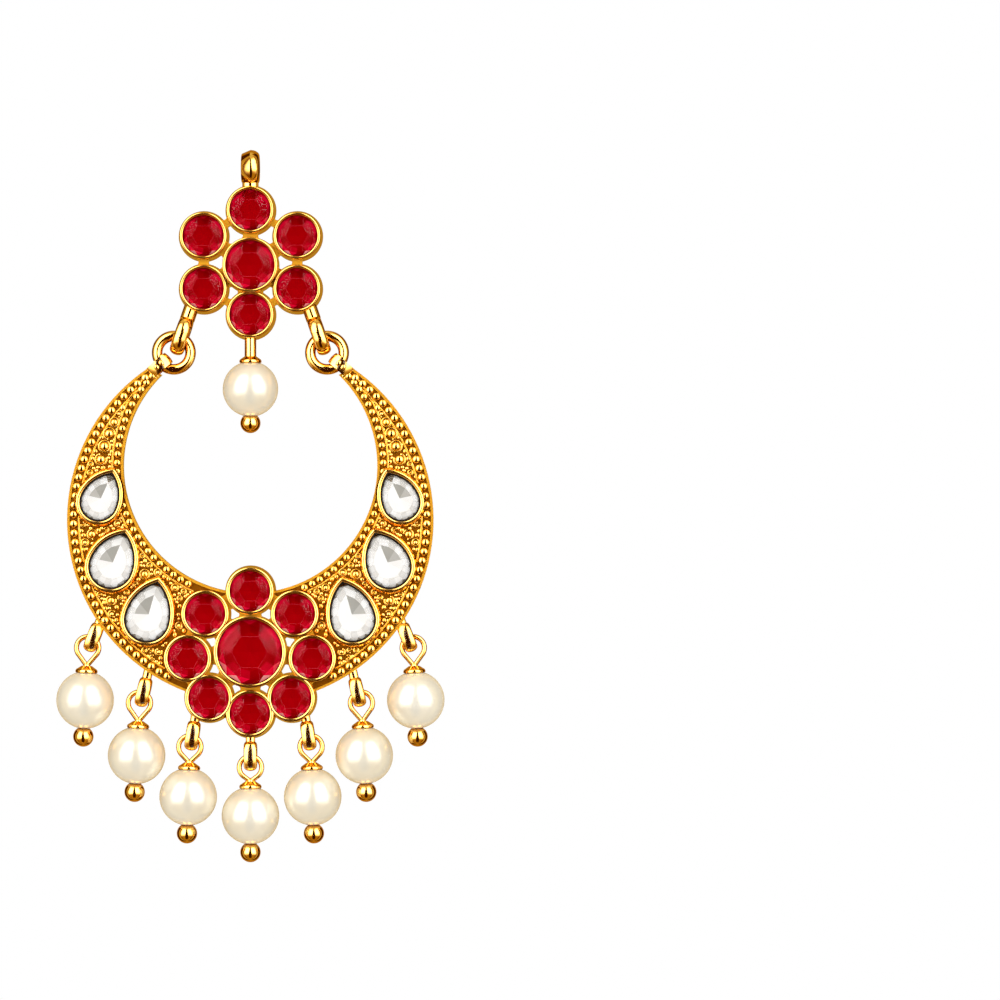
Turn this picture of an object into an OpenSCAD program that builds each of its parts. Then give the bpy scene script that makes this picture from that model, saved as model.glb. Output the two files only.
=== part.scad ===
// Dangle earring: a flower of red stones carries a crescent with pear stones, a second flower
// and seven pearl drops. Millimetres. +Z is up, the front faces -Y, and X is the mirror axis.
// The origin is on the ear post's axis, where the back of the post's pad rests on the ear.

/* [Top flower] */
// Distance from the flower's middle to the middle of the top and the bottom petal stone
top_petal_ring_r = 5.6; // [5.5:0.05:5.7]
// The same distance for the four petals at the sides
side_petal_ring_r = 5.75; // [5.6:0.05:5.8]
// Radius of a petal stone where it shows inside its bezel
top_petal_stone_r = 2.17; // [2.1:0.01:2.2]
// Radius of the middle stone where it shows
top_centre_stone_r = 2.6; // [2.5:0.05:2.65]
// How far the middle stone sits below the flower's middle
top_centre_drop = 0.3; // [0:0.05:0.35]
// Depth of a bezel, back to front
bezel_depth = 2.4; // [2.2:0.1:2.6]
// How much wider a bezel is at its back than at its lip
bezel_flare = 0.2; // [0.1:0.05:0.25]
// Thickness of a bezel's wall at its lip
bezel_wall = 0.37; // [0.3:0.01:0.4]

/* [Ear post and loops] */
// Radius of the ear post
post_r = 0.4; // [0.35:0.05:0.45]
// Length of the ear post behind its pad
post_length = 10; // [9:0.5:12]
// Radius of the post's pad
pad_r = 2.4; // [2:0.1:2.6]
// Thickness of the post's pad
pad_thickness = 0.3; // [0.25:0.05:0.4]
// Width of the top loop seen from the front
top_loop_width = 1.95; // [1.8:0.05:2.1]
// Outer radius of the top loop seen from the side
top_loop_r = 1.95; // [1.8:0.05:2.1]

/* [Jump rings] */
// Radius of a jump ring, measured to the middle of its wire
ring_r = 1.79; // [1.75:0.01:1.85]
// Radius of the jump rings' wire
ring_wire_r = 0.57; // [0.5:0.01:0.58]
// Distance of each jump ring from the mirror axis
ring_x = 8.2; // [8.1:0.05:8.3]
// Height of the jump rings' middles
ring_z = -9.66; // [-9.7:0.02:-9.6]

/* [Crescent] */
// Radius of the crescent's outer edge
outer_r = 19.6; // [19.4:0.1:19.8]
// Height of the middle of the outer edge
outer_z = -27.58; // [-27.8:0.1:-27.4]
// Radius of the crescent's inner edge
inner_r = 13.59; // [13.4:0.01:13.7]
// Height of the middle of the inner edge
inner_z = -21.8; // [-21.9:0.1:-21.7]
// Thickness of the cast plate
plate_thickness = 1.2; // [1:0.1:1.4]
// How far the beads and the plain edge stand above the plate
edge_height = 0.2; // [0.1:0.05:0.3]
// Width of the plain edge
edge_width = 0.27; // [0.2:0.01:0.35]
// Height of the pear bezels above the plate
pear_bezel_height = 0.95; // [0.8:0.05:1.1]

/* [Lower flower] */
// Height of the lower flower's middle
lower_z = -41.66; // [-41.8:0.02:-41.5]
// Radius of the large middle stone where it shows
lower_centre_stone_r = 3.48; // [3.4:0.02:3.5]
// Radius of a petal stone where it shows
lower_petal_stone_r = 2.16; // [2.1:0.02:2.2]

/* [Pearl drops] */
// Radius of the seven hanging pearls
pearl_r = 3.08; // [3:0.02:3.1]
// Radius of the pearl under the top flower
top_pearl_r = 2.97; // [2.9:0.01:3]
// Radius of the ball that ends a pin
ball_r = 1.09; // [1:0.01:1.1]
// Radius of the pins' wire
pin_r = 0.27; // [0.25:0.01:0.3]
// Radius of the eye at a pin's top, measured to the middle of its wire
eye_r = 1.2; // [1.15:0.01:1.25]
// Radius of a pearl's drilled hole
hole_r = 0.42; // [0.4:0.01:0.45]

/* [Hidden] */
$fn = 48;
gap = 0.06;        // between a loose piece and what holds it
bury = 0.3;        // how deep a soldered piece runs into its neighbour
flower_back = pad_thickness + 0.05;  // depth of the flower's back, in front of the pad
hang = flower_back + bezel_depth / 2;  // depth of the plane that everything hangs in
big = 60;

// Where the hanging crescent's back lies, so that its weight is under the jump rings
plate_back = 0.71;
plate_front = plate_back + plate_thickness;

// Petals of the top flower, anticlockwise from its top, and how far the side ones lie above
// or below the flower's middle, as an angle
top_petal_count = 6;
side_petal_angle = 29.4;

// Solder webs between bezels: radius of their hollow sides, where their back lies in front of
// the bezels' backs, their depth, and how far they run into a bezel's wall
web_hollow_r = 0.45;
web_back = 0.15;
web_depth = 1.5;
web_bury = 0.2;

// Every cut stone: how far a main facet's two rim points lie to its sides as a share of the step
// between mains, and how far a pear's table moves towards its tip
rim_spread = 0.3;
table_rise = 0.32;

// Round cut stones: number of main facets, and the table, crown and pointed back as shares of the radius
round_mains = 6;
round_table = 0.54;
round_crown = 0.26;
round_back = 0.68;

// Pear stones: number of main facets, table as a share of the outline, height of the crown, the
// girdle and the back, and how far the girdle lies under the bezel's lip
pear_mains = 8;
pear_table = 0.66;
pear_crown = 0.42;
pear_girdle = 0.08;
pear_back = 0.3;
pear_below_lip = 0.45;

// A pear bezel's foot: how much wider it is than the wall, and its height as a share of the bezel's
pear_foot = 0.13;
pear_foot_height = 0.5;
past_tip = 12;            // angle that each side of a pear bezel runs past its tip before it is cut

// Round stones: how far the girdle reaches under the lip and lies below it, its height, the
// bezel's floor, and the free space above and below the girdle
girdle_tuck = 0.07;
girdle_below_lip = 0.5;
girdle_height = 0.1;
bezel_floor = 0.2;
girdle_margin = 0.1;

// A collar is a little wider than its loop and runs down into it
collar_margin = 0.12;
collar_sink = 0.45;

// How much deeper the middle bezels are than the petals
top_centre_rise = 0.3;
lower_centre_rise = 0.4;

// Petals of the lower flower, anticlockwise from its top: angle, distance from the middle
lower_petals = [
    [90, 6.49],
    [139.8, 6.28],
    [186, 6.69],
    [228.4, 6.64],
    [270, 6.61],
    [311.6, 6.64],
    [354, 6.69],
    [400.2, 6.28],
];

// Pear stones of the left arm, top to bottom:
// x and z of the round end, radius, distance from there to the tip, lean of the tip to the middle
pear_stones = [
    [-16.18, -25.69, 2.05, 3.50, 25],
    [-14.89, -32.57, 2.40, 3.95, 23],
    [-11.03, -38.23, 2.44, 4.25, 16],
];

// Drops of the left side and the middle: x and z of the bail's end, lean of the bail,
// lean of the drop, distance from the eye's middle to where its two legs meet
drops = [
    [-17.37, -41.66, 21, 2.8, 1.95],
    [-11.82, -47.57, 13.2, 3.1, 1.95],
    [-6.45, -52.25, 8.8, 1.9, 1.7],
    [0, -54.45, 0, 0, 1.5],
];
drop_count = 7;
drop_numbers = [for (i = [1:drop_count]) i];

// A drop's bail: half of its opening, its wire and the width seen from the front
bail_half_open = 0.48;
bail_wire = 0.94;
bail_width = 1.4;
bail_reach = bail_half_open + bail_wire;
bail_straight = 0.45;
collar_depth = 1.0;
collar_rise = 0.7;        // how far the collar runs above the bail's top, into what carries it
eye_lift = 0.16;          // how far the eye's wire lies above the middle of the bail's bend

// A jump ring's bail under the top flower, and where it crosses the ring
ring_bail_half_open = 0.86;
ring_bail_wire = 0.95;
ring_bail_width = 1.5;
ring_bail_lean = 19;
ring_bail_straight = 0.75;
ring_bail_angle = 64;
ring_bail_inset = 0.12;   // how far the bend's middle lies inside the ring's wire
ring_collar_depth = 1.6;
ring_collar_rise = 1.0;   // how far the collar runs above the bail's top, into the bezel

// The two rows of beads along the crescent's edges
outer_bead_r = 0.43;
outer_bead_pitch = 1.0;
outer_row_start = 126.5;
outer_row_end = 242;
inner_bead_r = 0.38;
inner_bead_pitch = 0.92;
inner_row_start = 137.5;
inner_row_end = 246;
smallest_bead_r = 0.24;
bead_rise = 0.15;         // how far a bead's middle lies above the plate

// Room for the lower flower's petals and for the jump rings in the crescent's plate
lower_opening_r = 6.2;
ring_room = 0.35;
tip_cut = 1.6;            // how far below the rings' middles nothing of the plate is left between them

// The loop at each tip of the crescent, which holds a jump ring
tip_angle = 222;
tip_loop_r = 1.43;
tip_loop_band = 0.34;
tip_loop_width = 1.3;
band_edge_share = 0.4;    // share of a band's thickness that is left at its edges
tip_loop_outward = 0.28;  // how far the loop's middle lies outside the ring's wire
tip_loop_distance = ring_r + tip_loop_outward;

// The eye's two legs meet in a knot that rests in the top of the cap
knot_r = 0.38;
leg_start = 0.1;          // how far a leg begins inside the bent part of the eye
leg_r = 0.96 * pin_r;     // a little less than the eye's, so that the leg begins inside it

// The caps over the pearls
cap_r = 1.19;
cap_rim_r = 0.3;
cap_rim_lift = 0.4;       // how far the rim's middle lies off the pearl, as a share of the rim's radius
cap_rim_turn = 62;        // where the cap's slope leaves the rim
cap_neck_r = 0.55;
cap_above_pearl = 0.58;   // from the pearl's top up to the cap's top
cap_under_knot = -0.02;   // from the knot's middle down to the cap's top
knot_room = 0.1;          // free space round the knot in the cap's top

// How far a pin's ball sits in the dimple under its pearl
ball_sink = 0.25;
pearl_fn = 96;

// The top loop's wire, and the collar that solders it to the flower
top_loop_wire = 1.25;
top_collar_depth = 2.1;
top_collar_width = 1.7;
top_collar_rise = 0.45;

// The post under the top flower
stem_r = 0.62;
stem_into_cap = 0.3;     // how far the stem runs above the pearl's top into the cap
stem_top_z = -8.0;
top_pearl_z = -13.55;
top_ball_z = -17.2;
top_ball_r = 1.08;

gold = "goldenrod";

// Draws in the front plane: x to the right, y up, z from the ear towards the viewer
module front() {
    rotate([90, 0, 0]) children();
}

module both_sides() {
    children();
    mirror([1, 0, 0]) children();
}

function polar(r, angle) = [r * cos(angle), r * sin(angle)];
function lower_petal_place(i) = polar(lower_petals[i][1], lower_petals[i][0]) + [0, lower_z];

// Petal i counts anticlockwise from 0 at the top. Petals 0 and 3 stand upright, 1, 2, 4 and 5 at the sides.
function top_petal_side(i) = i % 3 == 0 ? 0 : (i < 3 ? -1 : 1);
function top_petal_up(i) = i == 0 || i == 1 || i == 5 ? 1 : -1;
function top_petal_place(i) = top_petal_side(i) == 0
    ? [0, top_petal_up(i) * top_petal_ring_r]
    : side_petal_ring_r
        * [top_petal_side(i) * cos(side_petal_angle), top_petal_up(i) * sin(side_petal_angle)];

// Drop i of seven counts from the left, and the right three mirror the left three
function drop_side(i) = i > 4 ? 1 : -1;
function drop_row(i) = drops[(i > 4 ? 8 - i : i) - 1];
function bail_middle(row) = [row[0] + bail_reach * sin(row[2]), row[1] + bail_reach * cos(row[2])];
function eye_sink(row) = eye_r - sqrt(pow(eye_r, 2) - pow(bail_reach * sin(row[2]), 2));

// Stones and bezels

// Radius of the big arcs that lead from a pear's round end to its tip
function side_r(r, tip) = (r * r + tip * tip) / (2 * r);

// Distance from the round end's middle to the outline, in one direction
function outline_r(r, tip, angle) =
    let (big_r = side_r(r, tip), shift = big_r - r)
    sin(angle) <= 0 ? r : sqrt(pow(big_r, 2) - pow(shift * sin(angle), 2)) - shift * abs(cos(angle));

function outline(r, tip, angle, shrink, rise) =
    polar(shrink * outline_r(r, tip, angle), angle) + [0, rise];

// A cut stone with a flat table, main facets, as many corner facets and a pointed back.
// z = 0 is the upper edge of its girdle. A round stone has its tip at its radius.
module cut_stone(mains, r, tip, table, crown, girdle, back) {
    step = 360 / mains;
    rise = (tip - r) * table_rise;
    rim = [for (i = [0:mains - 1]) for (side = [-1, 1])
        outline(r, tip, 90 + step * (i + side * rim_spread), 1, 0)];
    top = [for (i = [0:mains - 1])
        outline(r, tip, 90 + step * (i + 0.5), table, rise * (1 - table))];
    n = 2 * mains;
    points = concat(
        [for (p = rim) [p[0], p[1], 0]],
        [for (p = rim) [p[0], p[1], -girdle]],
        [for (p = top) [p[0], p[1], crown]],
        [[0, rise, -girdle - back]]
    );
    table_start = 2 * n;
    culet = table_start + mains;
    faces = concat(
        [[for (i = [mains - 1:-1:0]) table_start + i]],
        [for (i = [0:mains - 1]) [table_start + (i + mains - 1) % mains, 2 * i + 1, 2 * i]],
        [for (i = [0:mains - 1]) [table_start + (i + mains - 1) % mains, table_start + i, 2 * i + 1]],
        [for (i = [0:mains - 1]) [table_start + i, (2 * i + 2) % n, 2 * i + 1]],
        [for (i = [0:n - 1]) [i, (i + 1) % n, n + i]],
        [for (i = [0:n - 1]) [(i + 1) % n, n + (i + 1) % n, n + i]],
        [for (i = [0:n - 1]) [n + i, n + (i + 1) % n, culet]]
    );
    polyhedron(points, faces, convexity = 4);
}

function stone_back(r, depth) =
    min(round_back * r, depth - girdle_below_lip - girdle_height - bezel_floor - 2 * gap);

// A round bezel, back at z = 0, hollowed to match the stone's pointed back
module round_bezel(r, depth, flare) {
    lip_r = bezel_wall / 2;
    inner_wall = r + girdle_tuck + gap;
    seat = depth - girdle_below_lip - girdle_height - gap;
    rotate_extrude() {
        polygon([
            [0, 0],
            [r + bezel_wall + flare, 0],
            [r + bezel_wall, depth - lip_r],
            [inner_wall, depth - lip_r],
            [inner_wall, seat],
            [0, seat - stone_back(r, depth) - gap],
        ]);
        translate([r + lip_r, depth - lip_r]) circle(r = lip_r);
    }
}

// A thin disc of free space round a stone's girdle
module girdle_room(r, depth) {
    translate([0, 0, depth - girdle_below_lip - girdle_height - girdle_margin])
        cylinder(r = r + girdle_tuck + gap / 2, h = girdle_height + 2 * girdle_margin);
}

module round_stone(r, depth) {
    translate([0, 0, depth - girdle_below_lip])
        cut_stone(round_mains, r + girdle_tuck, r + girdle_tuck, round_table, round_crown * r,
            girdle_height, stone_back(r, depth));
}

// The section of a pear bezel: x is the distance outside the stone, y the height above the plate
module pear_bezel_section() {
    lip_r = bezel_wall / 2;
    polygon([
        [girdle_tuck + gap, -bury],
        [bezel_wall + pear_foot, -bury],
        [bezel_wall + pear_foot, pear_foot_height * pear_bezel_height],
        [bezel_wall, pear_bezel_height - lip_r],
        [girdle_tuck + gap, pear_bezel_height - lip_r],
    ]);
    translate([lip_r, pear_bezel_height - lip_r]) circle(r = lip_r);
}

// One long side of a pear bezel, cut off at the mirror line where it meets the other
module pear_bezel_side(r, tip) {
    big_r = side_r(r, tip);
    shift = big_r - r;
    intersection() {
        translate([-shift, 0, 0])
            rotate_extrude(angle = atan2(tip, shift) + past_tip)
                translate([big_r, 0]) pear_bezel_section();
        translate([0, -big / 2, -big / 2]) cube(big);
    }
}

// Swept round the pear's outline, with its foot on z = 0
module pear_bezel(r, tip) {
    rotate([0, 0, 180]) rotate_extrude(angle = 180) translate([r, 0]) pear_bezel_section();
    both_sides() pear_bezel_side(r, tip);
}

module pear_stone(r, tip) {
    grow = girdle_tuck;
    long_tip = sqrt(pow(side_r(r, tip) + grow, 2) - pow(side_r(r, tip) - r, 2));
    translate([0, 0, pear_bezel_height - pear_below_lip])
        cut_stone(pear_mains, r + grow, long_tip, pear_table, pear_crown, pear_girdle, pear_back);
}

module at_pear(i) {
    row = pear_stones[i];
    translate([row[0], row[1], plate_front]) rotate([0, 0, -row[4]]) children();
}

// Loops seen from their edge

// An oval wire's section, wider along y than it is thick along x
module wire_section(width, thickness) {
    scale([thickness / width, 1]) circle(d = width);
}

// A thin band's section with rounded faces, as wide along y and as thick along x
module band_section(width, thickness) {
    bulge = thickness / 2 * (1 - band_edge_share);
    face_r = (bulge * bulge + width * width / 4) / (2 * bulge);
    intersection() {
        circle(d = width);
        translate([face_r - thickness / 2, 0]) circle(r = face_r);
        translate([thickness / 2 - face_r, 0]) circle(r = face_r);
    }
}

// A long closed loop in the plane across the front, hanging down from straight above z = 0.
// The middle of its lower bend is at the origin.
module edge_loop(half_open, wire, width, straight) {
    middle_r = half_open + wire / 2;
    rotate([0, 90, 0]) {
        rotate([0, 0, 180]) rotate_extrude(angle = 180) translate([middle_r, 0]) wire_section(width, wire);
        translate([0, straight, 0])
            rotate_extrude(angle = 180) translate([middle_r, 0]) wire_section(width, wire);
        for (s = [-1, 1])
            translate([s * middle_r, 0, 0])
                rotate([-90, 0, 0]) linear_extrude(straight) wire_section(width, wire);
    }
}

// The short collar with rounded front and back that solders a loop to what is above it
module collar(width, depth, from, to) {
    translate([0, from, 0]) rotate([-90, 0, 0]) linear_extrude(to - from) intersection() {
        circle(d = depth);
        square([width, depth], center = true);
    }
}

// A full round loop seen from its edge, middle at the origin
module round_loop(outer, wire, width) {
    rotate([0, 90, 0]) rotate_extrude() translate([outer - wire / 2, 0]) wire_section(width, wire);
}

// A web of solder between two bezels: p is the middle of one and r its radius, q and s the other's.
// Its sides are hollow, and it stops inside the bezels' walls.
module web(p, r, q, s, back) {
    f = web_hollow_r;
    d = norm(q - p);
    x = (d * d + pow(r + f, 2) - pow(s + f, 2)) / (2 * d);
    h = sqrt(pow(r + f, 2) - x * x);
    left = x * r / (r + f);
    right = d - (d - x) * s / (s + f);
    top = h * max(r / (r + f), s / (s + f));
    translate([p[0], p[1], back + web_back]) rotate([0, 0, atan2(q[1] - p[1], q[0] - p[0])])
        linear_extrude(web_depth) difference() {
            translate([left, -top]) square([right - left, 2 * top]);
            circle(r = r - web_bury);
            translate([d, 0]) circle(r = s - web_bury);
            for (side = [-1, 1]) translate([x, side * h]) circle(r = f);
        }
}

// Top flower

module top_bezels() {
    for (i = [0:top_petal_count - 1])
        translate(concat(top_petal_place(i), flower_back))
            round_bezel(top_petal_stone_r, bezel_depth, bezel_flare);
    translate([0, -top_centre_drop, flower_back])
        round_bezel(top_centre_stone_r, bezel_depth + top_centre_rise, bezel_flare / 2);
}

// Solder between neighbouring petals, and from each petal to the middle
module top_webs() {
    petal_r = top_petal_stone_r + bezel_wall;
    for (i = [0:top_petal_count - 1]) {
        web(top_petal_place(i), petal_r, top_petal_place((i + 1) % top_petal_count), petal_r, flower_back);
        web(top_petal_place(i), petal_r, [0, -top_centre_drop], top_centre_stone_r + bezel_wall, flower_back);
    }
}

module ring_bail() {
    reach = ring_bail_half_open + ring_bail_wire;
    top = ring_bail_straight + reach;
    place = polar(ring_r - ring_bail_inset, ring_bail_angle) + [-ring_x, ring_z];
    translate(concat(place, hang)) rotate([0, 0, -ring_bail_lean]) {
        edge_loop(ring_bail_half_open, ring_bail_wire, ring_bail_width, ring_bail_straight);
        collar(ring_bail_width + collar_margin, ring_collar_depth, top - collar_sink, top + ring_collar_rise);
    }
}

// The stem, its cap, the pin and the ball under the top flower
module stem() {
    translate([0, stem_top_z, hang]) rotate([90, 0, 0])
        cylinder(r = stem_r, h = stem_top_z - top_pearl_z - top_pearl_r - stem_into_cap);
    translate([0, top_pearl_z, hang]) rotate([-90, 0, 0]) pearl_cap_shape(top_pearl_r);
    translate([0, top_pearl_z + top_pearl_r + cap_above_pearl, hang]) rotate([90, 0, 0])
        cylinder(r = pin_r, h = top_pearl_z + top_pearl_r + cap_above_pearl - top_ball_z);
    translate([0, top_ball_z, hang]) sphere(r = top_ball_r);
}

module top_loop() {
    middle = top_petal_ring_r + top_petal_stone_r + bezel_wall + top_loop_r;
    translate([0, middle, hang]) {
        round_loop(top_loop_r, top_loop_wire, top_loop_width);
        collar(top_collar_width, top_collar_depth, -top_loop_r - bury, -top_loop_r + top_collar_rise);
    }
}

module top_flower() {
    color(gold) front() {
        top_bezels();
        top_webs();
        both_sides() ring_bail();
        stem();
        top_loop();
    }
}

module top_ruby(i) {
    color("crimson") front() translate(concat(top_petal_place(i - 1), flower_back))
        round_stone(top_petal_stone_r, bezel_depth);
}

module top_ruby_centre() {
    color("crimson") front() translate([0, -top_centre_drop, flower_back])
        round_stone(top_centre_stone_r, bezel_depth + top_centre_rise);
}

module ear_post() {
    color(gold) {
        rotate([90, 0, 0]) cylinder(r = pad_r, h = pad_thickness);
        rotate([-90, 0, 0]) cylinder(r = post_r, h = post_length - post_r);
        translate([0, post_length - post_r, 0]) sphere(r = post_r);
    }
}

// Jump rings

module jump_ring(side) {
    color(gold) front() translate([side * ring_x, ring_z, hang])
        rotate_extrude() translate([ring_r, 0]) circle(r = ring_wire_r);
}

// Crescent

// The crescent between its edges, pulled in by one distance from both
module crescent_outline(pull) {
    difference() {
        translate([0, outer_z]) circle(r = outer_r - pull);
        translate([0, inner_z]) circle(r = inner_r + pull);
        translate([0, lower_z]) circle(r = lower_opening_r);
        for (i = [0:len(lower_petals) - 1])
            translate(lower_petal_place(i)) circle(r = lower_petal_stone_r + bezel_wall / 2);
        for (side = [-1, 1])
            translate([side * ring_x, ring_z]) circle(r = ring_r + ring_wire_r + ring_room);
        translate([-ring_x, ring_z - tip_cut]) square([2 * ring_x, big]);
    }
}

module plate() {
    translate([0, 0, plate_back]) linear_extrude(plate_thickness) crescent_outline(0);
}

// The plain raised edge along both sides
module plain_edges() {
    translate([0, 0, plate_front - bury]) linear_extrude(bury + edge_height) difference() {
        crescent_outline(0);
        translate([0, outer_z]) difference() {
            circle(r = outer_r - edge_width);
            translate([0, inner_z - outer_z]) circle(r = inner_r + edge_width);
        }
    }
}

// How far a place on the left arm lies outside the nearest stone, nearly
function outside_pear(place, row) =
    let (dx = place[0] - row[0], dy = place[1] - row[1],
         along = dy * cos(row[4]) + dx * sin(row[4]), across = dx * cos(row[4]) - dy * sin(row[4]))
    norm([dx, dy]) - outline_r(row[2], row[3], atan2(along, across));
function outside_petal(place, i) = norm(place - lower_petal_place(i)) - lower_petal_stone_r;
function outside_stones(place) = min(concat(
    [for (row = pear_stones) outside_pear(place, row)],
    [for (i = [0:len(lower_petals) - 1]) outside_petal(place, i)]));

// Beads in one row, on an arc from one angle to another on the left side. Beside a bezel they
// are squeezed small, and none is drawn where a bezel's wall already is.
module bead_row(r, z, bead_r, pitch, from, to) {
    count = floor((to - from) * PI / 180 * r / pitch);
    for (i = [0:count]) {
        place = polar(r, from + (to - from) * i / count) + [0, z];
        room = outside_stones(place) - bezel_wall;
        if (room > smallest_bead_r - bezel_wall / 2)
            translate(concat(place, plate_front + bead_rise))
                sphere(r = min(bead_r, max(smallest_bead_r, room + bezel_wall / 2)));
    }
}

module bead_rows() {
    both_sides() {
        bead_row(outer_r - edge_width - outer_bead_r, outer_z, outer_bead_r, outer_bead_pitch,
            outer_row_start, outer_row_end);
        bead_row(inner_r + edge_width + inner_bead_r, inner_z, inner_bead_r, inner_bead_pitch,
            inner_row_start, inner_row_end);
    }
}

// Petals of the lower flower stand so close that each wall is thinned beside the next stone's girdle
module lower_bezels() {
    difference() {
        for (i = [0:len(lower_petals) - 1])
            translate(concat(lower_petal_place(i), plate_back))
                round_bezel(lower_petal_stone_r, bezel_depth, bezel_flare);
        for (i = [0:len(lower_petals) - 1])
            translate(concat(lower_petal_place(i), plate_back)) girdle_room(lower_petal_stone_r, bezel_depth);
    }
    translate([0, lower_z, plate_back])
        round_bezel(lower_centre_stone_r, bezel_depth + lower_centre_rise, bezel_flare / 2);
}

// Solder between neighbouring petals, and from each petal to the middle
module lower_webs() {
    petal_r = lower_petal_stone_r + bezel_wall;
    for (i = [0:len(lower_petals) - 1]) {
        here = lower_petal_place(i);
        next = lower_petal_place((i + 1) % len(lower_petals));
        web(here, petal_r, next, petal_r, plate_back);
        web(here, petal_r, [0, lower_z], lower_centre_stone_r + bezel_wall, plate_back);
    }
}

module tip_loop() {
    place = polar(tip_loop_distance, tip_angle) + [-ring_x, ring_z];
    translate(concat(place, hang)) rotate([0, 0, tip_angle - 270])
        rotate([0, 90, 0]) rotate_extrude() translate([tip_loop_r - tip_loop_band / 2, 0])
            band_section(tip_loop_width, tip_loop_band);
}

module drop_bail(i) {
    row = drop_row(i);
    translate(concat(bail_middle(row), hang)) rotate([0, 0, -row[2]]) {
        edge_loop(bail_half_open, bail_wire, bail_width, bail_straight);
        collar(bail_width + collar_margin, collar_depth, bail_straight + bail_reach - collar_sink,
            bail_straight + bail_reach + collar_rise);
    }
}

module crescent() {
    color(gold) front() {
        plate();
        plain_edges();
        bead_rows();
        both_sides() for (i = [0:2]) at_pear(i) pear_bezel(pear_stones[i][2], pear_stones[i][3]);
        lower_bezels();
        lower_webs();
        both_sides() {
            tip_loop();
            for (i = [1:3]) drop_bail(i);
        }
        drop_bail(4);
    }
}

module ruby(i) {
    color("crimson") front() translate(concat(lower_petal_place(i - 1), plate_back))
        round_stone(lower_petal_stone_r, bezel_depth);
}

module ruby_centre() {
    color("crimson") front() translate([0, lower_z, plate_back])
        round_stone(lower_centre_stone_r, bezel_depth + lower_centre_rise);
}

// Crystals 1 to 3 are the left arm's from the top, 4 to 6 the right arm's
module crystal(i) {
    row = (i - 1) % 3;
    color("whitesmoke") front() mirror([i > 3 ? 1 : 0, 0, 0])
        at_pear(row) pear_stone(pear_stones[row][2], pear_stones[row][3]);
}

// Pearl drops

// In a drop's own place: the origin is the middle of the eye's wire at its top, y is up
module at_drop(i) {
    row = drop_row(i);
    place = [row[0], bail_middle(row)[1] + eye_sink(row) + eye_lift, hang];
    front() mirror([drop_side(i) > 0 ? 1 : 0, 0, 0]) translate(place) rotate([0, 0, -row[3]]) children();
}

function legs_meet(i) = eye_r + drop_row(i)[4];
function pearl_middle(i) = legs_meet(i) + cap_under_knot + cap_above_pearl + pearl_r;

// Eye, pin and ball in one
module drop_pin(i) {
    distance = drop_row(i)[4];
    turn = acos(eye_r / distance);
    leg = sqrt(pow(distance, 2) - pow(eye_r, 2));
    ball_y = -pearl_middle(i) - pearl_r - ball_r + ball_sink;
    color(gold) at_drop(i) {
        translate([0, -eye_r, 0]) {
            rotate([0, 0, turn - 90]) rotate_extrude(angle = 360 - 2 * turn)
                translate([eye_r, 0]) circle(r = pin_r);
            for (s = [-1, 1])
                translate([s * eye_r * sin(turn), -eye_r * cos(turn), 0])
                    rotate([0, 0, s * (turn - 90)]) rotate([90, 0, 0])
                        translate([0, 0, -leg_start]) cylinder(r = leg_r, h = leg_start + leg);
        }
        rotate([-90, 0, 0]) rotate_extrude() intersection() {
            union() {
                translate([0, -legs_meet(i)]) circle(r = knot_r);
                translate([-pin_r, ball_y]) square([2 * pin_r, -ball_y - legs_meet(i)]);
                translate([0, ball_y]) circle(r = ball_r);
            }
            translate([0, -big]) square(2 * big);
        }
    }
}

// A domed cap with a rolled rim, round the z axis above a pearl whose middle is the origin
module pearl_cap_shape(pearl) {
    top = pearl + cap_above_pearl;
    rim = [cap_r - cap_rim_r, sqrt(pow(pearl, 2) - pow(cap_r - cap_rim_r, 2)) + cap_rim_lift * cap_rim_r];
    difference() {
        rotate_extrude() {
            polygon([
                [0, rim[1] - cap_rim_r],
                rim - [0, cap_rim_r],
                rim,
                rim + polar(cap_rim_r, cap_rim_turn),
                [cap_neck_r, top],
                [0, top],
            ]);
            translate(rim) circle(r = cap_rim_r);
        }
        sphere(r = pearl + gap, $fn = pearl_fn);
    }
}

module pearl_cap(i) {
    color(gold) at_drop(i) translate([0, -pearl_middle(i), 0]) rotate([-90, 0, 0]) difference() {
        pearl_cap_shape(pearl_r);
        cylinder(r = pin_r + gap, h = big);
        translate([0, 0, pearl_middle(i) - legs_meet(i)]) sphere(r = knot_r + knot_room);
    }
}

// A drilled pearl with a dimple where the ball meets it
module drilled_pearl(r, ball, sink) {
    difference() {
        sphere(r = r, $fn = pearl_fn);
        cylinder(r = hole_r, h = 3 * r, center = true);
        translate([0, 0, -r - ball + sink]) sphere(r = ball + gap);
    }
}

module pearl(i) {
    color("ivory") at_drop(i) translate([0, -pearl_middle(i), 0]) rotate([-90, 0, 0])
        drilled_pearl(pearl_r, ball_r, ball_sink);
}

module top_pearl() {
    color("ivory") front() translate([0, top_pearl_z, hang]) rotate([-90, 0, 0])
        drilled_pearl(top_pearl_r, top_ball_r, top_ball_z + top_ball_r - top_pearl_z + top_pearl_r);
}

top_flower();
ear_post();
top_ruby_centre();
for (i = [1:top_petal_count]) top_ruby(i);
top_pearl();
jump_ring(-1);  // jump_ring_left
jump_ring(1);  // jump_ring_right
crescent();
ruby_centre();
for (i = [1:8]) ruby(i);
for (i = [1:6]) crystal(i);
for (i = drop_numbers) drop_pin(i);
for (i = drop_numbers) pearl_cap(i);
for (i = drop_numbers) pearl(i);
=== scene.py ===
"""A gold-coloured crescent dangle earring with red stones, pear stones and hanging pearls, on white.

Lengths in this file are millimetres until they become mesh points or node values. Places in the front
plane are pairs: x to the right and z up. Depth runs from the ear towards the viewer, which is -Y.
"""

import math
import random
from types import SimpleNamespace

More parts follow.
